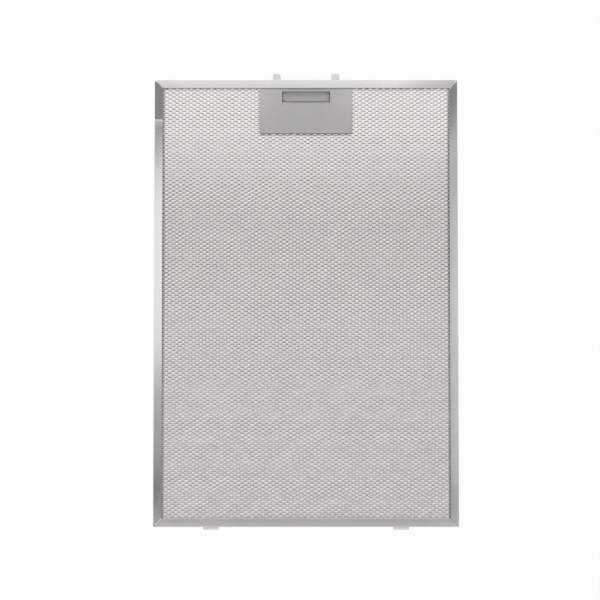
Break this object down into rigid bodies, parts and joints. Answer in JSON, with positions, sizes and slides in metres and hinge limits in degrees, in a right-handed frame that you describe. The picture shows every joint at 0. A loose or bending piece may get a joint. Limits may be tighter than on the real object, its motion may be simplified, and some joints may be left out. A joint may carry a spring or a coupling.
{
  "type": "cooker hood grease filter",
  "caption": "Flat aluminium mesh grease filter for a cooker hood, in a folded channel frame with a sprung finger latch on its top edge and hook tabs on its bottom edge.",
  "frame": {"origin": "middle of the frame's rear face, on the plane that it lies on", "axes": "+Z from the rear face to the front, +Y up the panel towards the latch bolts, +X to the right seen from the front"},
  "size_m": [0.258, 0.3884, 0.0093],
  "materials": {
    "frame_aluminium": "satin rolled aluminium",
    "face_mesh": "bright expanded aluminium",
    "filter_foil": "expanded aluminium foil",
    "grey_plastic": "fine matt moulding",
    "light_grey_plastic": "smooth moulding",
    "spring_steel": "spring steel strip",
    "tab_steel": "pressed zinc-plated steel"
  },
  "bodies": {
    "panel": {"frame": "frame_aluminium", "front_mesh": "face_mesh", "filter_layer_1": "filter_foil", "filter_layer_2": "filter_foil", "filter_layer_3": "filter_foil", "filter_layer_4": "filter_foil", "filter_layer_5": "filter_foil", "back_mesh": "face_mesh", "latch_housing": "grey_plastic", "latch_cover": "grey_plastic", "latch_spring": "spring_steel", "hook_tab_left": "tab_steel", "hook_tab_right": "tab_steel"},
    "slider": {"latch_slider": "grey_plastic", "latch_bolt_left": "light_grey_plastic", "latch_bolt_right": "light_grey_plastic"}
  },
  "joints": [
    {"name": "latch_slide", "type": "slide", "parent": "panel", "child": "slider", "axis": [0, -1, 0], "range_m": [0, 0.0065], "stiffness_N_per_m": 400, "springref_m": -0.004, "deforming": ["latch_spring"]}
  ]
}
